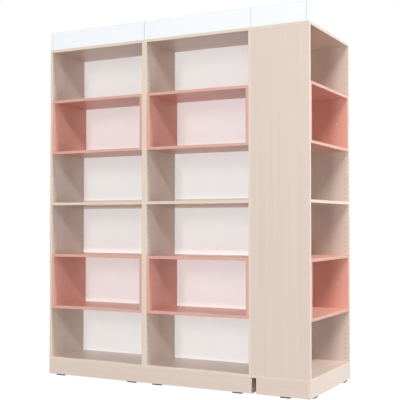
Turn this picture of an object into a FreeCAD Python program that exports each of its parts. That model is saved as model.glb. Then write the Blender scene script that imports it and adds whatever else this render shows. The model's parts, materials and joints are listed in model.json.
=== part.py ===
"""Double sided library shelving: a run of two double bays with an end unit set across one end.

Millimetres, +Z up. +X runs along the shelving towards the end unit, whose shelves face +X, and the
bays open to -Y and +Y. The origin is on the floor, under the middle of the whole piece.
"""
import FreeCAD, Part
import math
import os
from types import SimpleNamespace

import Sketcher
from FreeCAD import Placement, Rotation, Vector

DRIVING = {
    # boards and levels
    "board": 18.0,               # thickness of every board
    "bay_width": 760.0,          # one double bay, outside
    "unit_depth": 378.0,         # front edge to middle plane, and the end unit's own depth
    "tier_clear": 334.0,         # clear height of each of the six tiers
    "plinth_height": 95.0,
    "plinth_recess": 30.0,       # the end unit's plinth stops short of the run by this
    "pelmet_height": 120.0,
    "seam_gap": 0.8,             # open seam between two pelmet boards
    # middle rail and back sheets
    "rail_height": 60.0,
    "rail_rise": 23.0,           # rail top above the middle shelf
    "sheet": 5.0,                # thickness of the back sheets
    "groove_depth": 6.0,
    "groove_gap": 0.2,           # groove wall to sheet, each face
    "sheet_end_gap": 1.0,        # sheet edge to groove bottom
    # box inserts
    "box_side_gap": 0.2,         # box to upright, each side
    "box_rear_gap": 0.5,         # box to back sheet
    "screw_setback": 75.0,       # box screws from the front edge and from the back sheet
    # shelf pin holes
    "pin_radius": 2.5,
    "pin_depth": 12.0,
    "pin_pitch": 32.0,
    "pin_setback": 28.0,         # rows from the front edge and from the back sheet
    "pins_in_row": 10,
    # glides
    "glide_length": 64.0,
    "glide_height": 8.0,
    "glide_chamfer": 1.5,
    "glide_setback": 96.0,       # glide middle from the end of its bay
    "side_glide_setback": 160.0, # glide middle under the end unit's sides, from the front
    "peg_radius": 2.5,
    "peg_length": 10.0,
    "peg_spacing": 32.0,         # between the two pegs of a glide
    # glue blocks
    "block": 30.0,
    "pelmet_block_height": 80.0,
    # dowels
    "dowel_radius": 4.0,
    "dowel_length": 30.0,
    "dowel_in_face": 12.0,       # part of the dowel in the board that is drilled in its face
    "dowel_chamfer": 1.0,
    "dowel_setback": 60.0,       # from either edge of a board
    "dowel_from_middle": 120.0,  # inner pair in the double sided uprights
    "bore_gap": 0.1,             # around every fixing
    "bore_end_gap": 1.0,         # beyond the end of every fixing
    # box screws and their caps
    "screw_radius": 2.0,
    "screw_reach": 12.0,         # into the upright
    "screw_head_radius": 4.0,
    "screw_head_height": 3.0,
    "counterbore_radius": 5.0,
    "counterbore_depth": 6.0,
    "cap_radius": 7.0,
    "cap_height": 1.2,
    "cap_stem": 2.0,
    # connectors through two uprights
    "bolt_setback": 190.0,       # from the front edge
    "bolt_rise": 13.0,           # end unit's connectors above the middle of the rail
    "sleeve_radius": 4.0,
    "bolt_radius": 2.9,
    "bolt_clearance": 0.1,       # bolt to sleeve
    "bolt_head_radius": 7.0,
    "bolt_head_height": 1.5,
    "bolt_overlap": 8.0,         # bolt and sleeve past the joint
}
ALONG_X, ALONG_Y = 0, 1
BAYS = (1, 2)
BOX_TIERS = {"lower": 2, "upper": 5}
PIN_TIERS = (1, 3, 4, 6)
TIERS = 6

doc = FreeCAD.newDocument("library_shelving")
sheet = doc.addObject("Spreadsheet::Sheet", "sizes")
for row, (alias, number) in enumerate(DRIVING.items(), start=1):
    sheet.set(f"A{row}", alias)
    sheet.set(f"B{row}", str(number))
    sheet.setAlias(f"B{row}", alias)
doc.recompute()


class Size:
    """A length that carries both its number and its formula on the sheet."""

    def __init__(self, number, formula):
        self.number = number
        self.formula = formula

    def __add__(self, other):
        other = as_size(other)
        return Size(self.number + other.number, f"({self.formula} + {other.formula})")

    def __sub__(self, other):
        other = as_size(other)
        return Size(self.number - other.number, f"({self.formula} - {other.formula})")

    def __mul__(self, factor):
        factor = as_size(factor)
        return Size(self.number * factor.number, f"({self.formula} * {factor.formula})")

    def __truediv__(self, factor):
        return Size(self.number / factor, f"({self.formula} / {factor})")

    def __neg__(self):
        return Size(-self.number, f"(0 - {self.formula})")

    __rmul__ = __mul__


def as_size(value):
    return value if isinstance(value, Size) else Size(value, str(value))


s = SimpleNamespace(**{name: Size(sheet.get(name), f"sizes.{name}") for name in DRIVING})
ZERO = as_size(0)

# ---------------------------------------------------------------- levels and planes
pitch = s.tier_clear + s.board
plinth_top = s.glide_height + s.plinth_height
first_tier = plinth_top + s.board
upright_height = TIERS * pitch - s.board
upright_top = first_tier + upright_height
pelmet_base = upright_top + s.board
pelmet_top = pelmet_base + s.pelmet_height


def tier_low(tier):
    return first_tier + (tier - 1) * pitch


def tier_high(tier):
    return tier_low(tier) + s.tier_clear


shelf_low = tier_high(TIERS // 2)
shelf_high = shelf_low + s.board
rail_high = shelf_high + s.rail_rise
rail_low = rail_high - s.rail_height

half_length = (2 * s.bay_width + s.unit_depth) / 2
run_left = -half_length
run_right = run_left + 2 * s.bay_width
front = -s.unit_depth
rear = s.unit_depth
inner = s.unit_depth - s.board              # inner face of the end unit's far upright
groove_half = s.sheet / 2 + s.groove_gap
sheet_grip = s.groove_depth - s.sheet_end_gap
end_back = run_right + s.board / 2          # middle plane of the end unit's back sheet
end_back_face = end_back + s.sheet / 2


def bay_left(bay):
    return run_left + (bay - 1) * s.bay_width


# ---------------------------------------------------------------- solids
def bind(target, **formulas):
    for path, size in formulas.items():
        target.setExpression(path.replace("__", "."), size.formula)


def block(label, low, high):
    """A plain board or block between its lowest and highest corners."""
    box = doc.addObject("Part::Box", label)
    bind(box, Length=high[0] - low[0], Width=high[1] - low[1], Height=high[2] - low[2],
         Placement__Base__x=low[0], Placement__Base__y=low[1], Placement__Base__z=low[2])
    return box


def sketch_in(body, role, label, offset=ZERO):
    """A sketch on one of the body's own planes, moved out along the plane's normal."""
    sketch = body.newObject("Sketcher::SketchObject", label)
    plane = next(item for item in body.Origin.OriginFeatures if item.Role == role)
    sketch.AttachmentSupport = [(plane, "")]
    sketch.MapMode = "FlatFace"
    sketch.setExpression("AttachmentOffset.Base.z", offset.formula)
    return sketch


def dimension(sketch, kind, points, size):
    index = sketch.addConstraint(Sketcher.Constraint(kind, *points, size.number))
    sketch.setExpression(f"Constraints[{index}]", size.formula)


def rectangle(sketch, left, bottom, width, height):
    """Four lines held by their corner and their two lengths."""
    xs = (left.number, left.number + width.number)
    ys = (bottom.number, bottom.number + height.number)
    corners = [Vector(xs[0], ys[0]), Vector(xs[1], ys[0]), Vector(xs[1], ys[1]), Vector(xs[0], ys[1])]
    first = sketch.GeometryCount
    for index in range(4):
        sketch.addGeometry(Part.LineSegment(corners[index], corners[(index + 1) % 4]))
    for index in range(4):
        following = first + (index + 1) % 4
        sketch.addConstraint(Sketcher.Constraint("Coincident", first + index, 2, following, 1))
        sketch.addConstraint(Sketcher.Constraint(("Horizontal", "Vertical")[index % 2], first + index))
    dimension(sketch, "DistanceX", (-1, 1, first, 1), left)
    dimension(sketch, "DistanceY", (-1, 1, first, 1), bottom)
    dimension(sketch, "DistanceX", (first, 1, first, 2), width)
    dimension(sketch, "DistanceY", (first + 1, 1, first + 1, 2), height)


def extrude(body, kind, sketch, length):
    feature = body.newObject(f"PartDesign::{kind}", f"{sketch.Name}_{kind.lower()}")
    feature.Profile = sketch
    bind(feature, Length=length)
    return feature


def upright(label, depth, groove_middle, pin_columns, angle, corner):
    """An upright lying in its own YZ plane, with its drilled and grooved inner face at +X."""
    body = doc.addObject("PartDesign::Body", f"{label}_board")
    outline = sketch_in(body, "YZ_Plane", f"{label}_outline")
    rectangle(outline, ZERO, ZERO, depth, upright_height)
    extrude(body, "Pad", outline, s.board)

    groove = sketch_in(body, "YZ_Plane", f"{label}_groove", s.board)
    rectangle(groove, groove_middle - groove_half, ZERO, 2 * groove_half, upright_height)
    extrude(body, "Pocket", groove, s.groove_depth)

    pins = sketch_in(body, "YZ_Plane", f"{label}_pins", s.board)
    margin = (s.tier_clear - (s.pins_in_row - as_size(1)) * s.pin_pitch) / 2
    centres = [(column, tier_low(tier) - first_tier + margin)
               for column in pin_columns for tier in PIN_TIERS]
    for index, (across, up) in enumerate(centres):
        middle = Vector(across.number, up.number)
        sketch_circle = pins.addGeometry(Part.Circle(middle, Vector(0, 0, 1), s.pin_radius.number))
        dimension(pins, "DistanceX", (-1, 1, sketch_circle, 3), across)
        dimension(pins, "DistanceY", (-1, 1, sketch_circle, 3), up)
        if index:
            pins.addConstraint(Sketcher.Constraint("Equal", 0, sketch_circle))
    dimension(pins, "Radius", (0,), s.pin_radius)
    first_holes = extrude(body, "Pocket", pins, s.pin_depth)

    rows = body.newObject("PartDesign::LinearPattern", f"{label}_pin_rows")
    rows.Originals = [first_holes]
    rows.Direction = (pins, ["V_Axis"])
    bind(rows, Length=(s.pins_in_row - as_size(1)) * s.pin_pitch, Occurrences=s.pins_in_row)
    body.Tip = rows
    body.Placement.Rotation = Rotation(Vector(0, 0, 1), angle)
    bind(body, Placement__Base__x=corner[0], Placement__Base__y=corner[1], Placement__Base__z=first_tier)
    return body


def turned(label, profile):
    """A body turned about its own Z axis from a closed profile of (radius, height) sizes."""
    body = doc.addObject("PartDesign::Body", label)
    sketch = sketch_in(body, "XZ_Plane", f"{label}_profile")
    points = [Vector(radius.number, height.number) for radius, height in profile]
    count = len(points)
    for index in range(count):
        sketch.addGeometry(Part.LineSegment(points[index], points[(index + 1) % count]))
    for index, (radius, height) in enumerate(profile):
        sketch.addConstraint(Sketcher.Constraint("Coincident", (index - 1) % count, 2, index, 1))
        dimension(sketch, "DistanceX", (-1, 1, index, 1), radius)
        dimension(sketch, "DistanceY", (-1, 1, index, 1), height)
    revolution = body.newObject("PartDesign::Revolution", f"{label}_turning")
    revolution.Profile = sketch
    revolution.ReferenceAxis = (sketch, ["V_Axis"])
    revolution.Angle = 360
    return body


# ---------------------------------------------------------------- fixings
UP, DOWN = Vector(0, 0, 1), Vector(0, 0, -1)
EAST, WEST = Vector(1, 0, 0), Vector(-1, 0, 0)
NORTH, SOUTH = Vector(0, 1, 0), Vector(0, -1, 0)
fixings = {"dowels": [], "box_screws": [], "connectors": [], "glides": [], "side_glides": []}


def fix(kind, x, y, z, axis=UP):
    """Places one fixing with its joint plane at a point and its own +Z along the axis."""
    fixings[kind].append(Placement(Vector(x.number, y.number, z.number), Rotation(UP, axis)))


def cylinder(radius, low, high):
    return Part.makeCylinder(radius.number, (high - low).number, Vector(0, 0, low.number))


def bore_shape(kind):
    """What one fixing needs drilled out of the boards that it passes through."""
    around = s.bore_gap
    if kind == "dowels":
        tail = s.dowel_length - s.dowel_in_face + s.bore_end_gap
        return cylinder(s.dowel_radius + around, -tail, s.dowel_in_face + s.bore_end_gap)
    if kind == "box_screws":
        pilot = cylinder(s.screw_radius + around, -s.screw_reach - s.bore_end_gap, s.board)
        pocket = cylinder(s.counterbore_radius, s.board - s.counterbore_depth, s.board)
        return pilot.fuse(pocket)
    if kind == "connectors":
        shank = cylinder(s.sleeve_radius + around, -s.board, s.board)
        head = s.bolt_head_height + around
        heads = [cylinder(s.bolt_head_radius + around, s.board - head, s.board),
                 cylinder(s.bolt_head_radius + around, -s.board, head - s.board)]
        return shank.multiFuse(heads)
    turn = Rotation(UP, 90 if kind == "side_glides" else 0)
    peg = cylinder(s.peg_radius + around, ZERO, s.peg_length + s.bore_end_gap)
    return Part.makeCompound([peg.translated(turn.multVec(place)) for place in peg_places()])


def peg_places():
    return [Vector(side * s.peg_spacing.number / 2, 0, 0) for side in (-1, 1)]


nodes = {}


def finish(label, thing):
    """Registers an object as the finished sub-part of that name."""
    if label in nodes:
        raise ValueError(f"two sub-parts are called {label}")
    thing.Label = label
    nodes[label] = thing
    return thing


def drilled(label, blank, grooves=()):
    """The blank less its grooves and less the bore of every fixing that reaches it."""
    doc.recompute()
    reach = blank.Shape.BoundBox
    bores = [shape for shape in bore_shapes if reach.intersect(shape.BoundBox)]
    tools = list(grooves)
    if bores:
        drill = doc.addObject("Part::Feature", f"{label}_bores")
        drill.Shape = Part.makeCompound(bores)
        tools.append(drill)
    for tool in tools:
        cut = doc.addObject("Part::Cut", f"{label}_cut")
        cut.Base = blank
        cut.Tool = tool
        blank = cut
    return blank


def board(label, low, high, grooves=()):
    return finish(label, drilled(label, block(f"{label}_blank", low, high), grooves))


def box_insert(label, low, high, along):
    """Four boards in a ring, with its sides at both ends of one axis and its base and lid over them."""
    base, lid = low[2] + s.board, high[2] - s.board
    near_inside, far_inside = list(high), list(low)
    near_inside[along] = low[along] + s.board
    far_inside[along] = high[along] - s.board
    corners = {
        "base": (low, (high[0], high[1], base)),
        "lid": ((low[0], low[1], lid), high),
        "near_side": ((low[0], low[1], base), (near_inside[0], near_inside[1], lid)),
        "far_side": ((far_inside[0], far_inside[1], base), (high[0], high[1], lid)),
    }
    ring = doc.addObject("Part::Compound", label)
    ring.Links = [drilled(f"{label}_{side}", block(f"{label}_{side}_blank", *pair))
                  for side, pair in corners.items()]
    return finish(label, ring)


# ---------------------------------------------------------------- where the fixings go
bay_dowel_rows = [side * size for side in (-1, 1)
                  for size in (s.unit_depth - s.dowel_setback, s.dowel_from_middle)]
shelf_dowel_rows = [side * size for side in (-1, 1)
                    for size in (s.unit_depth - s.dowel_setback, s.board / 2 + s.dowel_setback)]
end_dowel_columns = [run_right + s.dowel_setback + s.board / 2, half_length - s.dowel_setback]
shelf_middle = shelf_low + s.board / 2
rail_middle = rail_low + s.rail_height / 2

for bay in BAYS:
    left, right = bay_left(bay), bay_left(bay) + s.bay_width
    for x, wall, outward in ((left + s.board / 2, left + s.board, WEST),
                             (right - s.board / 2, right - s.board, EAST)):
        for y in bay_dowel_rows:
            fix("dowels", x, y, first_tier, DOWN)
            fix("dowels", x, y, upright_top, UP)
        for y in shelf_dowel_rows:
            fix("dowels", wall, y, shelf_middle, outward)
        fix("dowels", wall, ZERO, rail_middle, outward)

for y, wall, outward in ((front + s.board / 2, -inner, SOUTH), (rear - s.board / 2, inner, NORTH)):
    for x in end_dowel_columns:
        fix("dowels", x, y, first_tier, DOWN)
        fix("dowels", x, y, upright_top, UP)
        fix("dowels", x, wall, shelf_middle, outward)
    fix("dowels", end_back, wall, rail_middle, outward)


def fix_box(tier, walls, rows):
    """Two dowels in each corner joint of a box, and two screws through each of its sides."""
    for wall, inward in walls:
        side_middle = wall + s.board / 2 * (inward.x + inward.y)
        for dowel_row, screw_row in rows:
            for kind, place, row, level, axis in (
                    ("dowels", side_middle, dowel_row, tier_low(tier), DOWN),
                    ("dowels", side_middle, dowel_row, tier_high(tier), UP),
                    ("box_screws", wall, screw_row, tier_low(tier) + s.tier_clear / 2, inward)):
                x, y = (place, row) if inward.x else (row, place)
                fix(kind, x, y, level, axis)


for tier in BOX_TIERS.values():
    for bay in BAYS:
        walls = ((bay_left(bay) + s.board + s.box_side_gap, EAST),
                 (bay_left(bay) + s.bay_width - s.board - s.box_side_gap, WEST))
        for side in (-1, 1):
            fix_box(tier, walls, [(side * (s.unit_depth - s.dowel_setback),
                                   side * (s.unit_depth - s.screw_setback)),
                                  (side * (s.sheet / 2 + s.dowel_setback),
                                   side * (s.sheet / 2 + s.screw_setback))])
    fix_box(tier, ((-inner + s.box_side_gap, NORTH), (inner - s.box_side_gap, SOUTH)),
            [(half_length - s.dowel_setback, half_length - s.screw_setback),
             (end_back_face + s.dowel_setback, end_back_face + s.screw_setback)])
    for side in (-1, 1):
        fix("connectors", bay_left(2), side * (s.unit_depth - s.bolt_setback),
            tier_low(tier) + s.tier_clear / 2, EAST)
for side in (-1, 1):
    fix("connectors", run_right, side * (s.unit_depth - s.bolt_setback), rail_middle + s.bolt_rise, EAST)
    for bay in BAYS:
        row = side * (s.unit_depth - s.board / 2)
        fix("glides", bay_left(bay) + s.glide_setback, row, s.glide_height)
        fix("glides", bay_left(bay) + s.bay_width - s.glide_setback, row, s.glide_height)
    fix("glides", half_length - s.side_glide_setback, side * (s.unit_depth - s.board / 2), s.glide_height)
    for x in (half_length - s.board / 2, run_right + s.plinth_recess + s.board / 2):
        fix("side_glides", x, side * (s.unit_depth - s.glide_setback), s.glide_height)
for x in (run_left + s.board / 2, bay_left(2), run_right - s.board / 2):
    fix("side_glides", x, ZERO, s.glide_height)

bore_shapes = []
for kind, places in fixings.items():
    shape = bore_shape(kind)
    bore_shapes += [shape.transformed(place.toMatrix()) for place in places]

# ---------------------------------------------------------------- the two double bays
for bay in BAYS:
    name = f"bay_{bay}"
    left, right = bay_left(bay), bay_left(bay) + s.bay_width
    wall_left, wall_right = left + s.board, right - s.board
    slot_left, slot_right = wall_left - s.groove_depth, wall_right + s.groove_depth

    def back_groove(label, low, high):
        return block(f"{name}_{label}_groove",
                     (slot_left, -groove_half, low), (slot_right, groove_half, high))

    board(f"{name}_bottom", (left, front, plinth_top), (right, rear, first_tier),
          [back_groove("bottom", first_tier - s.groove_depth, first_tier)])
    board(f"{name}_top", (left, front, upright_top), (right, rear, pelmet_base),
          [back_groove("top", upright_top, upright_top + s.groove_depth)])
    pin_columns = [s.pin_setback, s.unit_depth - s.sheet / 2 - s.pin_setback,
                   s.unit_depth + s.sheet / 2 + s.pin_setback, 2 * s.unit_depth - s.pin_setback]
    for hand, angle, corner in (("left", 0, (left, front)), ("right", 180, (right, rear))):
        label = f"{name}_side_{hand}"
        blank = upright(label, 2 * s.unit_depth, s.unit_depth, pin_columns, angle, corner)
        finish(label, drilled(label, blank))
    board(f"{name}_rail", (wall_left, -s.board / 2, rail_low), (wall_right, s.board / 2, rail_high),
          [back_groove("rail_low", rail_low, rail_low + s.groove_depth),
           back_groove("rail_high", rail_high - s.groove_depth, rail_high)])
    for level, low, high in (("lower", first_tier, rail_low), ("upper", rail_high, upright_top)):
        board(f"{name}_back_{level}",
              (wall_left - sheet_grip, -s.sheet / 2, low - sheet_grip),
              (wall_right + sheet_grip, s.sheet / 2, high + sheet_grip))
    board(f"{name}_shelf_front", (wall_left, front, shelf_low), (wall_right, -s.board / 2, shelf_high))
    board(f"{name}_shelf_rear", (wall_left, s.board / 2, shelf_low), (wall_right, rear, shelf_high))
    back_face = s.sheet / 2 + s.box_rear_gap
    for level, tier in BOX_TIERS.items():
        for facing, near, far in (("front", front, -back_face), ("rear", back_face, rear)):
            box_insert(f"{name}_{level}_box_{facing}",
                       (wall_left + s.box_side_gap, near, tier_low(tier) - s.board),
                       (wall_right - s.box_side_gap, far, tier_high(tier) + s.board), ALONG_X)

# ---------------------------------------------------------------- the end unit
board("end_bottom", (run_right, front, plinth_top), (half_length, rear, first_tier),
      [block("end_bottom_groove",
             (end_back - groove_half, -inner - s.groove_depth, first_tier - s.groove_depth),
             (end_back + groove_half, inner + s.groove_depth, first_tier))])
board("end_top", (run_right, front, upright_top), (half_length, rear, pelmet_base),
      [block("end_top_groove", (end_back - groove_half, -inner - s.groove_depth, upright_top),
             (end_back + groove_half, inner + s.groove_depth, upright_top + s.groove_depth))])
rear_pins = end_back_face - run_right + s.pin_setback
for hand, angle, corner, groove_at, pin_columns in (
        ("near", 90, (half_length, front), s.unit_depth - s.board / 2,
         [s.pin_setback, s.unit_depth - rear_pins]),
        ("far", -90, (run_right, rear), s.board / 2, [rear_pins, s.unit_depth - s.pin_setback])):
    label = f"end_side_{hand}"
    blank = upright(label, s.unit_depth, groove_at, pin_columns, angle, corner)
    finish(label, drilled(label, blank))
board("end_rail", (run_right, -inner, rail_low), (run_right + s.board, inner, rail_high),
      [block(f"end_rail_groove_{level}", (end_back - groove_half, -inner, low),
             (end_back + groove_half, inner, low + s.groove_depth))
       for level, low in (("low", rail_low), ("high", rail_high - s.groove_depth))])
for level, low, high in (("lower", first_tier, rail_low), ("upper", rail_high, upright_top)):
    board(f"end_back_{level}", (end_back - s.sheet / 2, -inner - sheet_grip, low - sheet_grip),
          (end_back_face, inner + sheet_grip, high + sheet_grip))
board("end_shelf", (run_right + s.board, -inner, shelf_low), (half_length, inner, shelf_high))
for level, tier in BOX_TIERS.items():
    box_insert(f"end_{level}_box",
               (end_back_face + s.box_rear_gap, -inner + s.box_side_gap, tier_low(tier) - s.board),
               (half_length, inner - s.box_side_gap, tier_high(tier) + s.board), ALONG_Y)

# ---------------------------------------------------------------- plinths
end_plinth_back = run_right + s.plinth_recess
plinths = {
    "run_plinth_front": (run_left, front, run_right, -inner),
    "run_plinth_rear": (run_left, inner, run_right, rear),
    "run_plinth_left": (run_left, -inner, run_left + s.board, inner),
    "run_plinth_bearer": (bay_left(2) - s.board / 2, -inner, bay_left(2) + s.board / 2, inner),
    "run_plinth_right": (run_right - s.board, -inner, run_right, inner),
    "end_plinth_front": (half_length - s.board, front, half_length, rear),
    "end_plinth_near": (end_plinth_back, front, half_length - s.board, -inner),
    "end_plinth_far": (end_plinth_back, inner, half_length - s.board, rear),
    "end_plinth_rear": (end_plinth_back, -inner, end_plinth_back + s.board, inner),
}
for label, (x0, y0, x1, y1) in plinths.items():
    board(label, (x0, y0, s.glide_height), (x1, y1, plinth_top))

# ---------------------------------------------------------------- pelmet
pelmets = {
    "pelmet_left": (run_left, front, run_left + s.board, rear),
    "pelmet_front_1": (run_left + s.board + s.seam_gap, front, bay_left(2) - s.seam_gap / 2, -inner),
    "pelmet_front_2": (bay_left(2) + s.seam_gap / 2, front, run_right - s.seam_gap / 2, -inner),
    "pelmet_rear_1": (run_left + s.board + s.seam_gap, inner, bay_left(2) - s.seam_gap / 2, rear),
    "pelmet_rear_2": (bay_left(2) + s.seam_gap / 2, inner, run_right - s.seam_gap / 2, rear),
    "pelmet_end_near": (run_right + s.seam_gap / 2, front, half_length - s.board - s.seam_gap, -inner),
    "pelmet_end_far": (run_right + s.seam_gap / 2, inner, half_length - s.board - s.seam_gap, rear),
    "pelmet_end_front": (half_length - s.board, front, half_length, rear),
}
for label, (x0, y0, x1, y1) in pelmets.items():
    board(label, (x0, y0, pelmet_base), (x1, y1, pelmet_top))


# ---------------------------------------------------------------- glue blocks
def glue_blocks(label, lows, base, height):
    """Square blocks of one height, each from the low corner that is given."""
    group = doc.addObject("Part::Compound", label)
    group.Links = [block(f"{label}_{index}", (x, y, base), (x + s.block, y + s.block, base + height))
                   for index, (x, y) in enumerate(lows, start=1)]
    finish(label, group)


both_rows = (-inner, inner - s.block)
plinth_columns = (run_left + s.board,
                  bay_left(2) - s.board / 2 - s.block, bay_left(2) + s.board / 2,
                  run_right - s.board - s.block,
                  end_plinth_back + s.board, half_length - s.board - s.block)
pelmet_columns = (run_left + s.board, bay_left(2) - s.block / 2, run_right - s.block / 2,
                  half_length - s.board - s.block)
glue_blocks("plinth_blocks", [(x, y) for x in plinth_columns for y in both_rows],
            s.glide_height, s.plinth_height)
glue_blocks("pelmet_blocks", [(x, y) for x in pelmet_columns for y in both_rows],
            pelmet_base, s.pelmet_block_height)

# ---------------------------------------------------------------- fittings
in_end = s.dowel_length - s.dowel_in_face
dowel_tip = s.dowel_radius - s.dowel_chamfer
dowel = turned("one_dowel", [
    (ZERO, -in_end), (dowel_tip, -in_end), (s.dowel_radius, s.dowel_chamfer - in_end),
    (s.dowel_radius, s.dowel_in_face - s.dowel_chamfer), (dowel_tip, s.dowel_in_face),
    (ZERO, s.dowel_in_face)])
head_seat = s.board - s.counterbore_depth
screw = turned("one_screw", [
    (ZERO, -s.screw_reach), (s.screw_radius, s.screw_radius - s.screw_reach), (s.screw_radius, head_seat),
    (s.screw_head_radius, head_seat), (s.screw_head_radius, head_seat + s.screw_head_height),
    (ZERO, head_seat + s.screw_head_height)])
cap_top = s.board + s.cap_height
cap = turned("one_cap", [
    (ZERO, s.board - s.cap_stem), (s.counterbore_radius - s.bore_gap, s.board - s.cap_stem),
    (s.counterbore_radius - s.bore_gap, s.board), (s.cap_radius, s.board),
    (s.cap_radius - s.cap_height / 2, cap_top), (ZERO, cap_top)])
bolt_end = s.board - s.bolt_head_height
bolt = turned("one_bolt", [
    (ZERO, -s.bolt_overlap), (s.bolt_radius, -s.bolt_overlap), (s.bolt_radius, bolt_end),
    (s.bolt_head_radius, bolt_end), (s.bolt_head_radius, s.board), (ZERO, s.board)])
sleeve_bore = s.bolt_radius + s.bolt_clearance
sleeve = turned("one_sleeve", [
    (ZERO, -s.board), (s.bolt_head_radius, -s.board), (s.bolt_head_radius, -bolt_end),
    (s.sleeve_radius, -bolt_end), (s.sleeve_radius, s.bolt_overlap), (sleeve_bore, s.bolt_overlap),
    (sleeve_bore, -s.bolt_overlap - s.bolt_clearance), (ZERO, -s.bolt_overlap - s.bolt_clearance)])

glide = doc.addObject("PartDesign::Body", "one_glide")
pad_outline = sketch_in(glide, "XY_Plane", "glide_outline", -s.glide_height)
rectangle(pad_outline, ZERO, ZERO, s.glide_length, s.board)
glide_pad = extrude(glide, "Pad", pad_outline, s.glide_height)
doc.recompute()
under_edges = [f"Edge{index}" for index, edge in enumerate(glide.Shape.Edges, start=1)
               if math.isclose(edge.BoundBox.ZMax, -s.glide_height.number, abs_tol=1e-6)]
chamfer = glide.newObject("PartDesign::Chamfer", "glide_chamfer")
chamfer.Base = (glide_pad, under_edges)
bind(chamfer, Size=s.glide_chamfer)
doc.recompute()


def pegged(shape, turn):
    """The glide moved to the middle of its own outline, turned, with its two pegs on top."""
    middle = Vector(-s.glide_length.number / 2, -s.board.number / 2, 0)
    pegs = [cylinder(s.peg_radius, ZERO, s.peg_length).translated(place) for place in peg_places()]
    return shape.translated(middle).multiFuse(pegs).rotated(Vector(0, 0, 0), UP, turn)


def copies(shapes):
    """A group of copies: each pair is a shape and the places it goes to."""
    return Part.makeCompound([shape.transformed(place.toMatrix())
                              for shape, places in shapes for place in places])


groups = {
    "dowels": [(dowel.Shape, fixings["dowels"])],
    "box_screws": [(screw.Shape, fixings["box_screws"])],
    "box_screw_caps": [(cap.Shape, fixings["box_screws"])],
    "connectors": [(bolt.Shape, fixings["connectors"]), (sleeve.Shape, fixings["connectors"])],
    "glides": [(pegged(glide.Shape, 0), fixings["glides"]),
               (pegged(glide.Shape, 90), fixings["side_glides"])],
}
for label, shapes in groups.items():
    group = doc.addObject("Part::Feature", label)
    group.Shape = copies(shapes)
    group.Placement = Placement()
    finish(label, group)

# ---------------------------------------------------------------- check and export
doc.recompute()
for item in doc.Objects:
    if {"Invalid", "Error"} & set(item.State):
        raise RuntimeError(f"{item.Label} did not build: {item.State}")
for label, item in nodes.items():
    if item.Shape.isNull() or not item.Shape.isValid() or not item.Shape.Solids:
        raise RuntimeError(f"{label} has no sound solid")
os.makedirs("parts", exist_ok=True)
for label, item in nodes.items():
    item.Shape.exportStep(f"parts/{label}.step")
print(f"{len(nodes)} sub-parts, {sum(len(item.Shape.Solids) for item in nodes.values())} solids")
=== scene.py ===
# %% [markdown]
# # Dressing a double sided library shelving
# The shelving is a run of two bays that open to both sides, with a narrow end unit set across one
# end. Its frame comes from a CAD model, in metres, with the floor at zero height. This notebook gives
# every board its real edge, its décor and its wear, and then sets up a plain studio to see it in.

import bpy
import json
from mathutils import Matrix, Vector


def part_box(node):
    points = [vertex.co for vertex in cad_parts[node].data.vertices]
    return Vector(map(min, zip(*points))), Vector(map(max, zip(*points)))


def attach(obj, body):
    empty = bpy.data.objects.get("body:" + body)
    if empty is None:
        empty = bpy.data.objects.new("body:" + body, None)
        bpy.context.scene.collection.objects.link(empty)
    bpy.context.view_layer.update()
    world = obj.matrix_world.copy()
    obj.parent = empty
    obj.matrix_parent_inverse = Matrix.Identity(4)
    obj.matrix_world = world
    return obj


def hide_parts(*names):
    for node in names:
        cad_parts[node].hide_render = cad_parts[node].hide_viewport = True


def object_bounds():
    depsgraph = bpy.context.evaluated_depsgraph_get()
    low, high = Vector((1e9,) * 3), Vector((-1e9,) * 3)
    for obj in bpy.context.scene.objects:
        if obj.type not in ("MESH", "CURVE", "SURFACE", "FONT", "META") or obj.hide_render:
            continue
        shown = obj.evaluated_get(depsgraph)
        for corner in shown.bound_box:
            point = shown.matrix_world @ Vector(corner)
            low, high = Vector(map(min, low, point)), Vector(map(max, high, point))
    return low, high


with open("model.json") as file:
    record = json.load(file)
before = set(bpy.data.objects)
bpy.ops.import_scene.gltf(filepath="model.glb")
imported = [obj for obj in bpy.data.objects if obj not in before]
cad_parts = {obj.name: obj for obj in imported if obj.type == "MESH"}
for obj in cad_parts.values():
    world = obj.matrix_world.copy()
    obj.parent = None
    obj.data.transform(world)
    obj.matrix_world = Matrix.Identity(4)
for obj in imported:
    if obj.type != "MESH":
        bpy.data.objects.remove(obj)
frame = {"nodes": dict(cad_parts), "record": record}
frame_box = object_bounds()
print("frame from", frame_box[0][:], "to", frame_box[1][:])

# %% [markdown]
# The record that comes with the frame says which finish each sub-part has. Boards are sorted by that
# finish here, so that the rest of the notebook can speak of beige, coral and white boards.

# %% Sort the sub-parts by their finish
import json
import math

import bmesh
import bpy
from mathutils import Vector

finish_of = {part["node"]: part["material_slot"] for part in frame["record"]["subparts"]}
for slot in sorted(set(finish_of.values())):
    members = [node for node, own in finish_of.items() if own == slot]
    print(f"{slot}: {len(members)} sub-parts")

# %% [markdown]
# ## Shader arithmetic
# A material is a graph of small nodes. Sums written as Python expressions are far easier to read than
# a list of nodes, so a small class wraps a socket and turns plus and times into Math nodes. The second
# class owns one material and adds any other node to it by its type, settings and sockets.

# %% A socket with operators
class Wire:
    """One output socket of a finish; arithmetic on it adds Math nodes."""

    def __init__(self, finish, socket):
        self.finish = finish
        self.socket = socket

    def math(self, operation, *values):
        return self.finish.node("Math", {"operation": operation}, dict(enumerate(values)))

    def __add__(self, other):
        return self.math("ADD", self, other)

    def __mul__(self, other):
        return self.math("MULTIPLY", self, other)

    __radd__ = __add__
    __rmul__ = __mul__


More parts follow.
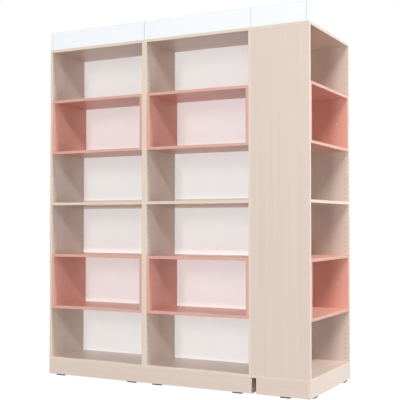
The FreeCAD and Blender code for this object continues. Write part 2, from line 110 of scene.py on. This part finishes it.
# %% A finish and its nodes
class Finish:
    """A material in the making: one surface shader, and a method that adds any other node."""

    def __init__(self, name, tree=None):
        if tree is None:
            self.material = bpy.data.materials.new(name)
            self.material.use_nodes = True
            tree = self.material.node_tree
        self.tree = tree
        self.surface = self.tree.nodes.get("Principled BSDF")

    def node(self, kind, settings, sockets, output=0):
        """Adds a node and returns one of its outputs as a wire."""
        made = self.tree.nodes.new("ShaderNode" + kind)
        for name, value in settings.items():
            if name == "stops":
                self.set_stops(made.color_ramp, value)
            else:
                setattr(made, name, value)
        for key, value in sockets.items():
            self.feed(made.inputs[key], value)
        return Wire(self, made.outputs[output])

    def feed(self, socket, value):
        """Links a wire to the socket, or sets the socket's own value to a plain number or colour."""
        if isinstance(value, Wire):
            self.tree.links.new(value.socket, socket)
        else:
            socket.default_value = value

    def set_stops(self, ramp, stops):
        """Gives the two stops of a new ramp their places and grey levels."""
        for element, (place, level) in zip(ramp.elements, stops):
            element.position = place
            element.color = (level, level, level, 1.0)

    def set(self, **values):
        """Feeds sockets of the surface shader; underscores stand for the spaces in their names."""
        for name, value in values.items():
            self.feed(self.surface.inputs[name.replace("_", " ")], value)
        return self.material


# %% [markdown]
# Colours are easiest to judge as the three numbers from 0 to 255 that an image editor shows. The
# shader works in linear light, so they are converted once, here. The Mix node has sockets for numbers
# and for vectors beside those for colours, so the colour ones are picked by their places.

# %% Colours and their mixing
MIX_SHARE, MIX_FIRST, MIX_SECOND = 0, 6, 7
MIXED_COLOUR = 2


def paint(red, green, blue):
    """A display colour, 0 to 255, as linear light."""
    def linear(level):
        part = level / 255
        return part / 12.92 if part <= 0.04045 else ((part + 0.055) / 1.055) ** 2.4
    return (linear(red), linear(green), linear(blue), 1.0)


def mix_colours(finish, share, first, second):
    sockets = {MIX_SHARE: share, MIX_FIRST: first, MIX_SECOND: second}
    return finish.node("Mix", {"data_type": "RGBA"}, sockets, output=MIXED_COLOUR)


print("mid grey in linear light:", round(paint(128, 128, 128)[0], 3))

# %% [markdown]
# ## The beige décor
# The boards are chipboard faced with a printed melamine foil. The print shows a pale, very even wood:
# broad soft streaks of one to three centimetres, and fine short pores, all running the long way of the
# board. Noise does both when its space is squeezed across the grain and stretched along it. Each board
# starts at its own place in that space, so that no two boards carry the same figure.

# %% Places and noise on a board
GRAIN_ALONG = {"X": 0, "Y": 1, "Z": 2}
OBJECT_SPACE = 3
OWN_CHANCE = 5
FARTHEST_SHIFT = (7.0, 3.0, 11.0)


def own_place(finish):
    """Object space, moved by a different amount for every board."""
    place = finish.node("TexCoord", {}, {}, output=OBJECT_SPACE)
    chance = finish.node("ObjectInfo", {}, {}, output=OWN_CHANCE)
    shifts = {axis: chance * farthest for axis, farthest in enumerate(FARTHEST_SHIFT)}
    shift = finish.node("CombineXYZ", {}, shifts)
    return finish.node("VectorMath", {"operation": "ADD"}, {0: place, 1: shift})


def stretched_noise(finish, place, axis, across, along, detail=2.0):
    """Noise whose features are so many metres wide across the grain and long along it."""
    scale = [1 / across] * 3
    scale[GRAIN_ALONG[axis]] = 1 / along
    squeezed = finish.node("VectorMath", {"operation": "MULTIPLY"}, {0: place, 1: scale})
    return finish.node("TexNoise", {}, {"Vector": squeezed, "Scale": 1.0, "Detail": detail})


# %% [markdown]
# The streaks move the colour by three to five levels only. The pores are a little darker, slightly
# pressed into the foil, and rougher than the rest, which breaks up the sheen when light grazes it. A
# foil mirrors less of the studio than a glossy plastic does, so its sheen is set below the usual half.

# %% Beige faced board
FOIL_SHEEN = 0.3
BEIGE = paint(208, 190, 178)
BEIGE_STREAK = paint(204, 184, 171)
BEIGE_PORE = paint(188, 164, 149)


def beige_face(axis):
    finish = Finish(f"beige_face_{axis}")
    place = own_place(finish)
    streaks = stretched_noise(finish, place, axis, 0.016, 1.4)
    soft = finish.node("ValToRGB", {"stops": [(0.35, 0.0), (0.68, 1.0)]}, {"Fac": streaks})
    pores = stretched_noise(finish, place, axis, 0.0016, 0.05, detail=4.0)
    fine = finish.node("ValToRGB", {"stops": [(0.56, 0.0), (0.74, 1.0)]}, {"Fac": pores})
    ground = mix_colours(finish, soft * 0.70, BEIGE, BEIGE_STREAK)
    colour = mix_colours(finish, fine * 0.22, ground, BEIGE_PORE)
    rough = 0.28 + 0.05 * soft + 0.10 * fine
    pressed = finish.node("Bump", {"invert": True},
                          {"Strength": 0.35, "Distance": 0.0001, "Height": fine})
    return finish.set(Base_Color=colour, Roughness=rough, Normal=pressed, Specular_IOR_Level=FOIL_SHEEN)


beige_faces = {axis: beige_face(axis) for axis in GRAIN_ALONG}
print("beige décor with its grain along", ", ".join(beige_faces))

# %% [markdown]
# ## The plain décors
# The box inserts are faced in plain coral and the pelmet in plain white. Plain foils are pressed with a
# fine pearl texture against fingermarks: rounded bumps about a millimetre across. Voronoi cells give
# that, with a slow cloud of noise for the small unevenness that any pressed board has.

# %% Plain faced boards
def pearl(finish, place, size, strength):
    cells = finish.node("TexVoronoi", {"feature": "SMOOTH_F1"}, {"Vector": place, "Scale": 1 / size})
    return cells, finish.node("Bump", {}, {"Strength": strength, "Distance": 0.0001, "Height": cells})


def plain_face(name, colour, shade, roughness):
    finish = Finish(name)
    place = own_place(finish)
    cloud = finish.node("TexNoise", {}, {"Vector": place, "Scale": 5.0, "Detail": 3.0})
    grains, relief = pearl(finish, place, 0.0011, 0.4)
    mixed = mix_colours(finish, cloud * 0.5, colour, shade)
    rough = roughness + 0.08 * cloud + 0.05 * grains
    return finish.set(Base_Color=mixed, Roughness=rough, Normal=relief, Specular_IOR_Level=FOIL_SHEEN)


coral_face = plain_face("coral_face", paint(215, 158, 142), paint(210, 151, 135), 0.27)
white_face = plain_face("white_face", paint(229, 229, 230), paint(226, 226, 228), 0.36)
print("plain décors:", coral_face.name, white_face.name)

# %% [markdown]
# ## Edge bands and raw chipboard
# Every exposed edge carries a plastic band, a shade yellower than the print on the beige boards. Bands
# are extruded, so faint lines run along them, and years of books and hands polish and soil them in
# patches. Grooves and hidden ends show the chipboard itself: flat chips in a darker glue. The walls
# of the shelf pin holes are painted a mottled dark brown, as painted shade for the shadow deep in them.
# On the white boards every arris is painted a thin grey line, as painted shade for their joints and
# corners.

# %% Edge bands
def band(name, colour, worn):
    finish = Finish(name)
    place = own_place(finish)
    patches = finish.node("TexNoise", {},
                          {"Vector": place, "Scale": 9.0, "Detail": 5.0, "Roughness": 0.6})
    handled = finish.node("ValToRGB", {"stops": [(0.50, 0.0), (0.78, 1.0)]}, {"Fac": patches})
    lines = finish.node("TexNoise", {}, {"Vector": place, "Scale": 900.0, "Detail": 1.0})
    mixed = mix_colours(finish, handled * 0.45, colour, worn)
    rough = 0.38 + 0.14 * patches
    relief = finish.node("Bump", {}, {"Strength": 0.15, "Distance": 0.00005, "Height": lines})
    return finish.set(Base_Color=mixed, Roughness=rough, Normal=relief)


beige_band = band("beige_band", paint(210, 192, 174), paint(202, 183, 163))
coral_band = band("coral_band", paint(201, 152, 138), paint(194, 144, 130))
white_band = band("white_band", paint(229, 229, 230), paint(221, 222, 224))
# Painted shade: every arris of the white boards gets a thin grey line, for the dark lines at their
# joints and corners.
painted_arris_shade = band("painted_arris_shade", paint(178, 177, 177), paint(160, 158, 156))
arris_of = {"beige": beige_band, "coral": coral_band, "white": painted_arris_shade}


# %% Raw chipboard
def chipboard():
    finish = Finish("raw_chipboard")
    place = own_place(finish)
    chips = finish.node("TexVoronoi", {}, {"Vector": place, "Scale": 420.0, "Randomness": 1.0})
    glue = finish.node("TexNoise", {}, {"Vector": place, "Scale": 160.0, "Detail": 6.0})
    mixed = mix_colours(finish, chips * 0.7 + glue * 0.3, paint(206, 178, 138), paint(150, 118, 82))
    relief = finish.node("Bump", {}, {"Strength": 0.6, "Distance": 0.0004, "Height": chips})
    return finish.set(Base_Color=mixed, Roughness=0.72 + 0.16 * glue, Normal=relief)


# Painted shade: the walls of the shelf pin holes are coloured a mottled dark brown, for the shadow deep
# inside them.
def painted_hole_shade():
    finish = Finish("painted_hole_shade")
    place = own_place(finish)
    chips = finish.node("TexVoronoi", {}, {"Vector": place, "Scale": 900.0, "Randomness": 1.0})
    shade_mottle = finish.node("TexNoise", {}, {"Vector": place, "Scale": 260.0, "Detail": 4.0})
    mixed = mix_colours(finish, shade_mottle, paint(116, 86, 66), paint(90, 66, 50))
    relief = finish.node("Bump", {}, {"Strength": 0.6, "Distance": 0.0003, "Height": chips})
    return finish.set(Base_Color=mixed, Roughness=0.80 + 0.12 * shade_mottle, Normal=relief)


raw_edge = chipboard()
hole_shade_finish = painted_hole_shade()
print("bands:", beige_band.name, coral_band.name, white_band.name)

# %% [markdown]
# ## Sheets, blocks and fittings
# The back sheets are hardboard with a thin coat of white lacquer, which lets a trace of the pressed
# fibres through. Blocks and dowels are beech. Screws and connectors are zinc plated, the screw caps are
# coral plastic and the glides are dark plastic, both moulded with a fine sparked texture.

# %% White lacquered sheet
def lacquered_sheet():
    finish = Finish("white_sheet")
    place = own_place(finish)
    cloud = finish.node("TexNoise", {}, {"Vector": place, "Scale": 3.0, "Detail": 2.0})
    fibres = finish.node("TexNoise", {}, {"Vector": place, "Scale": 700.0, "Detail": 3.0})
    mixed = mix_colours(finish, cloud * 0.6, paint(253, 255, 255), paint(250, 252, 253))
    relief = finish.node("Bump", {}, {"Strength": 0.25, "Distance": 0.0001, "Height": fibres})
    return finish.set(Base_Color=mixed, Roughness=0.50 + 0.12 * fibres, Normal=relief)


# %% Beech, zinc and moulded plastic
def beech():
    finish = Finish("beech")
    place = own_place(finish)
    rings = stretched_noise(finish, place, "Z", 0.006, 0.12, detail=3.0)
    flecks = stretched_noise(finish, place, "Z", 0.0009, 0.006)
    mixed = mix_colours(finish, rings, paint(216, 178, 132), paint(193, 150, 104))
    relief = finish.node("Bump", {}, {"Strength": 0.4, "Distance": 0.0002, "Height": flecks})
    return finish.set(Base_Color=mixed, Roughness=0.60 + 0.15 * rings, Normal=relief)


def zinc():
    finish = Finish("zinc_plate")
    place = own_place(finish)
    turning = stretched_noise(finish, place, "Z", 0.004, 0.0004)
    dull = finish.node("TexNoise", {}, {"Vector": place, "Scale": 260.0, "Detail": 4.0})
    mixed = mix_colours(finish, dull, paint(205, 207, 208), paint(168, 170, 168))
    relief = finish.node("Bump", {}, {"Strength": 0.2, "Distance": 0.00005, "Height": turning})
    return finish.set(Base_Color=mixed, Metallic=0.95, Roughness=0.26 + 0.20 * dull, Normal=relief)


def moulded(name, colour, scuffed, roughness):
    finish = Finish(name)
    place = own_place(finish)
    sparks, relief = pearl(finish, place, 0.0006, 0.5)
    scuffs = finish.node("TexNoise", {}, {"Vector": place, "Scale": 120.0, "Detail": 6.0})
    rubbed = finish.node("ValToRGB", {"stops": [(0.52, 0.0), (0.70, 1.0)]}, {"Fac": scuffs})
    mixed = mix_colours(finish, rubbed * 0.5, colour, scuffed)
    return finish.set(Base_Color=mixed, Roughness=roughness + 0.12 * sparks, Normal=relief)


fitting_finishes = {
    "white_sheet": lacquered_sheet(),
    "raw_wood": beech(),
    "steel": zinc(),
    "coral_plastic": moulded("coral_cap", paint(225, 174, 158), paint(217, 165, 149), 0.48),
    "dark_plastic": moulded("dark_glide", paint(52, 47, 44), paint(78, 72, 68), 0.50),
}
print("fitting finishes:", ", ".join(fitting_finishes))

# %% [markdown]
# ## Which edges are banded
# A board maker bands only the edges that stay in sight. Every board is a plain box, so the bands can be
# worked out: an edge is hidden when another board lies against it. The box inserts are rings of four
# boards held as one sub-part, so they are first taken apart into four boxes.

# %% The boards as boxes
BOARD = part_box("bay_1_bottom")[1].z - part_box("bay_1_bottom")[0].z
FACED = ("beige_board", "coral_board", "white_board")


def ring_boxes(low, high, across):
    """The base, lid and two sides of a box insert whose sides stand at both ends of one axis."""
    base_top, lid_base = low.z + BOARD, high.z - BOARD
    inside = Vector((0, 0, 0))
    inside[across] = high[across] - low[across] - BOARD
    side_low, side_high = Vector((low.x, low.y, base_top)), Vector((high.x, high.y, lid_base))
    return [(low, Vector((high.x, high.y, base_top))), (Vector((low.x, low.y, lid_base)), high),
            (side_low, side_high - inside), (side_low + inside, side_high)]


boards = {}
for node, slot in finish_of.items():
    if slot in FACED:
        ring = slot == "coral_board"
        across = 1 if node.startswith("end") else 0
        boards[node] = ring_boxes(*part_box(node), across) if ring else [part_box(node)]
print(len(boards), "sub-parts made of", sum(map(len, boards.values())), "boards")

# %% Find the edges that stay in sight
TOUCH = 0.0007
MOST = 0.5
COVERS = [box for boxes in boards.values() for box in boxes]
COVERS += [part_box(node) for node, slot in finish_of.items() if slot == "white_sheet"]


def overlap(box, other, axis):
    lengths = [min(box[1][a], other[1][a]) - max(box[0][a], other[0][a]) for a in range(3) if a != axis]
    return max(lengths[0], 0) * max(lengths[1], 0)


def hidden(box, axis, side):
    """True if other boards or sheets lie against most of this side of a board."""
    area = overlap(box, box, axis)
    touching = [other for other in COVERS if abs(other[1 - side][axis] - box[side][axis]) < TOUCH]
    return sum(overlap(box, other, axis) for other in touching) > MOST * area


def thin_axis(box):
    return min(range(3), key=lambda axis: box[1][axis] - box[0][axis])


def banded_sides(box):
    """The (axis, side) pairs of the edges of a board that carry a band."""
    edges = [(axis, side) for axis in range(3) if axis != thin_axis(box) for side in (0, 1)]
    return [edge for edge in edges if not hidden(box, *edge)]


print("bands on", sum(len(banded_sides(box)) for boxes in boards.values() for box in boxes), "edges")

# %% [markdown]
# ## Easing the arrises
# An edge band is trimmed with a small round on both arrises. That round catches a thin line of light
# and keeps neighbouring boards apart to the eye, so it is real geometry here: only the arrises beside a
# band are bevelled, and hidden joints stay tight. A single board starts from its CAD mesh, which has
# the shelf pin holes and the grooves; the boards of a ring are plain and start as boxes.

# %% Start a board's mesh
SAME_POINT = 1e-6
SAME_PLANE = math.radians(0.5)


def from_frame(node):
    """A board's CAD mesh, with its triangles joined into whole flat faces."""
    mesh = bmesh.new()
    mesh.from_mesh(frame["nodes"][node].data)
    bmesh.ops.remove_doubles(mesh, verts=mesh.verts, dist=SAME_POINT)
    bmesh.ops.dissolve_limit(mesh, angle_limit=SAME_PLANE, verts=mesh.verts, edges=mesh.edges)
    return mesh


def from_box(box):
    mesh = bmesh.new()
    bmesh.ops.create_cube(mesh, size=1.0)
    middle, size = (box[0] + box[1]) / 2, box[1] - box[0]
    for vertex in mesh.verts:
        vertex.co = middle + Vector(a * b for a, b in zip(vertex.co, size))
    return mesh


# %% Round the arrises beside the bands
ON_PLANE = 1e-5
EASE = 0.0010


def planes_of(points, box):
    """The sides of the box, as (axis, side) pairs, on which all the points lie."""
    return [(axis, side) for axis in range(3) for side in (0, 1)
            if all(abs(point[axis] - box[side][axis]) < ON_PLANE for point in points)]


def ease(mesh, box, bands):
    """Rounds the arrises of a board beside its bands and tells how many there are."""
    thin = thin_axis(box)
    arrises = []
    for edge in mesh.edges:
        planes = planes_of([vertex.co for vertex in edge.verts], box)
        if len(planes) == 2 and all(plane[0] == thin or plane in bands for plane in planes):
            arrises.append(edge)
    bmesh.ops.bevel(mesh, geom=arrises, offset=EASE, offset_type="OFFSET", segments=3, profile=0.5,
                    affect="EDGES", clamp_overlap=True)
    return len(arrises)


# %% [markdown]
# Each face of a board mesh now gets its zone. What lies on a broad side is foil, and what lies on a
# banded edge is band. The rest is a round beside a band, the wall of a hole, or raw chipboard. A hole is
# built of facets far smaller than any face of a groove, so their area tells the two apart.

# %% Tell the zones of a board apart
FACE, BAND, RAW, ARRIS, DRILLED = range(5)
LARGEST_FACET = 1e-4


def zone(face, box, bands):
    planes = planes_of([vertex.co for vertex in face.verts], box)
    if any(plane[0] == thin_axis(box) for plane in planes):
        return FACE
    if planes:
        return BAND if planes[0] in bands else RAW
    middle = face.calc_center_median()
    near_band = any(abs(middle[axis] - box[side][axis]) < EASE for axis, side in bands)
    if near_band:
        return ARRIS
    return DRILLED if face.calc_area() < LARGEST_FACET else RAW


# %% Make the board pieces
def board_finishes(node, box):
    """The finishes of a board in the order of its zones; the grain runs along its longest side."""
    colour = finish_of[node].split("_")[0]
    longest = max(range(3), key=lambda axis: box[1][axis] - box[0][axis])
    face = {"coral": coral_face, "white": white_face}.get(colour) or beige_faces["XYZ"[longest]]
    edge = {"beige": beige_band, "coral": coral_band, "white": white_band}[colour]
    return [face, edge, raw_edge, arris_of[colour], hole_shade_finish]


def make_piece(node):
    whole = bmesh.new()
    eased = 0
    for box in boards[node]:
        mesh = from_frame(node) if len(boards[node]) == 1 else from_box(box)
        bands = banded_sides(box)
        eased += ease(mesh, box, bands)
        for face in mesh.faces:
            face.smooth = False
            face.material_index = zone(face, box, bands)
        part = bpy.data.meshes.new("part")
        mesh.to_mesh(part)
        whole.from_mesh(part)
        bpy.data.meshes.remove(part)
    piece = bpy.data.objects.new(f"{node}_board", bpy.data.meshes.new(f"{node}_board"))
    whole.to_mesh(piece.data)
    for finish in board_finishes(node, boards[node][0]):
        piece.data.materials.append(finish)
    bpy.context.scene.collection.objects.link(piece)
    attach(piece, "root")
    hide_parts(node)
    return eased


eased_arrises = sum(make_piece(node) for node in boards)
print(len(boards), "board pieces with", eased_arrises, "eased arrises")

# %% [markdown]
# ## Dressing the rest of the frame
# The sheets, blocks and fittings keep their CAD shape, which is already right, and only get their
# finish.

# %% Give the fittings their finishes
for node, slot in finish_of.items():
    if slot in fitting_finishes:
        mesh = frame["nodes"][node].data
        mesh.materials.clear()
        mesh.materials.append(fitting_finishes[slot])
print("dressed", sum(slot in fitting_finishes for slot in finish_of.values()), "sub-parts")

# %% [markdown]
# ## Floor and surroundings
# The shelving stands on a plain pale floor in a white studio. What the camera sees directly is white,
# while the glow that reaches the boards from all around is weak and even. The floor keeps a faint
# contact shadow, because part of what the camera sees there is real, lit floor.

# %% Where a ray comes from
IS_CAMERA_RAY, IS_GLOSSY_RAY, IS_TRANSMISSION_RAY = 0, 3, 6


def seen(finish):
    """1 for what is seen, straight or by a reflection or through glass, and 0 for soft light."""
    straight = finish.node("LightPath", {}, {}, output=IS_CAMERA_RAY)
    reflected = finish.node("LightPath", {}, {}, output=IS_GLOSSY_RAY)
    through = finish.node("LightPath", {}, {}, output=IS_TRANSMISSION_RAY)
    return straight.math("MAXIMUM", straight.math("MAXIMUM", straight, reflected), through)


# %% Pale floor
FLOOR_REACH = 14.0
FLOOR_GLOW = 0.94
FLOOR_LIT = 0.20


def pale_floor():
    finish = Finish("pale_floor")
    mottle = finish.node("TexNoise", {}, {"Scale": 2.0, "Detail": 4.0})
    finish.set(Base_Color=mix_colours(finish, mottle, paint(128, 128, 128), paint(124, 124, 124)),
               Roughness=0.8)
    lit = finish.node("BsdfDiffuse", {}, {"Color": (FLOOR_LIT, FLOOR_LIT, FLOOR_LIT, 1)})
    glow = finish.node("Emission", {}, {"Color": (1, 1, 1, 1), "Strength": FLOOR_GLOW})
    white = finish.node("AddShader", {}, {0: lit, 1: glow})
    plain = Wire(finish, finish.surface.outputs[0])
    both = finish.node("MixShader", {}, {0: seen(finish), 1: plain, 2: white})
    finish.feed(finish.tree.nodes["Material Output"].inputs["Surface"], both)
    return finish.material


ground = bmesh.new()
bmesh.ops.create_grid(ground, x_segments=8, y_segments=8, size=FLOOR_REACH)
floor = bpy.data.objects.new("floor", bpy.data.meshes.new("floor"))
ground.to_mesh(floor.data)
floor.data.materials.append(pale_floor())
bpy.context.scene.collection.objects.link(floor)
print("floor reaches", FLOOR_REACH, "m to each side")

# %% Even glow of the studio
GLOW = 0.11
world = bpy.data.worlds.new("studio")
world.use_nodes = True
bpy.context.scene.world = world
studio = Finish("studio", world.node_tree)
even = studio.node("Background", {}, {"Color": (1, 1, 1, 1), "Strength": GLOW})
backdrop = studio.node("Background", {}, {"Color": (1, 1, 1, 1), "Strength": 1.0})
mixed = studio.node("MixShader", {}, {0: seen(studio), 1: even, 2: backdrop})
studio.feed(world.node_tree.nodes["World Output"].inputs["Surface"], mixed)
print("studio glow", GLOW)

# %% [markdown]
# ## The lamps
# A plain studio has a softbox on each side of the object, so that it can be seen from anywhere. The
# front one hangs far off, level with the middle of the shelving, so that it reaches every back sheet
# without a shadow from the board above. Two on the right serve the end unit: one stands low and faces
# its shelves, which lights their undersides, and one hangs far off and steep, for the tops of its
# shelves. Two more lamps in front draw the shadows. A long strip that hangs level, high and to the
# right, throws one crisp slanting line on every left wall: it is thin across that line and long the
# other way, so only level edges cast sharp shadows. A tall lamp a little to the left and above the
# middle shades the top of every back sheet, softly.
#
# All lamps are faintly cool, as daylight tubes are. The boards warm the light each time it bounces
# between them, so a neutral lamp would leave the tiers too yellow.

# %% Hang a softbox
DAYLIGHT = (0.95, 0.98, 1.0)
FAR = 16.0
AIM = Vector((0, 0, (frame_box[0].z + frame_box[1].z) / 2))


def softbox(name, place, width, height, power):
    lamp = bpy.data.lights.new(name, "AREA")
    lamp.shape = "RECTANGLE"
    lamp.size = width
    lamp.size_y = height
    lamp.energy = power
    lamp.color = DAYLIGHT
    hung = bpy.data.objects.new(name, lamp)
    hung.location = place
    hung.rotation_euler = (AIM - hung.location).to_track_quat("-Z", "Y").to_euler()
    bpy.context.scene.collection.objects.link(hung)
    print(f"{name}: {power} W at", [round(value, 2) for value in place])


# %% Light the studio
softbox("front_softbox", AIM + FAR * Vector((0.15, -1.0, 0.0)), 3.0, 0.8, 1080)
softbox("rear_softbox", AIM + Vector((0.0, 9.0, 1.5)), 4.0, 3.0, 570)
softbox("left_softbox", AIM + Vector((-9.0, 0.0, 1.5)), 3.0, 3.0, 570)
softbox("right_softbox", AIM + Vector((9.0, -1.0, -0.75)), 3.0, 0.8, 250)
softbox("high_right_softbox", AIM + FAR * Vector((1.0, -0.1, 1.25)), 4.4, 2.9, 6000)
softbox("slanting_strip", AIM + FAR * Vector((0.45, -1.0, 0.83)), 6.0, 0.3, 2000)
softbox("tall_lamp", AIM + FAR * Vector((-0.15, -1.0, 0.27)), 2.0, 4.6, 380)

# %% [markdown]
# ## The camera
# A long lens from a little under six metres, just below half height, turned towards the left.

# %% Camera
camera = bpy.data.objects.new("camera", bpy.data.cameras.new("camera"))
camera.location = (2.68376, -5.07956, 1.03554)
camera.rotation_euler = (math.radians(91.5753), 0, math.radians(27.6525))
camera.data.lens = 76.28
camera.data.sensor_width = 36.0
bpy.context.scene.collection.objects.link(camera)
bpy.context.scene.camera = camera
bpy.context.scene.view_settings.view_transform = "Standard"
print("camera stands", round((camera.location - AIM).length, 2), "m from the middle of the shelving")
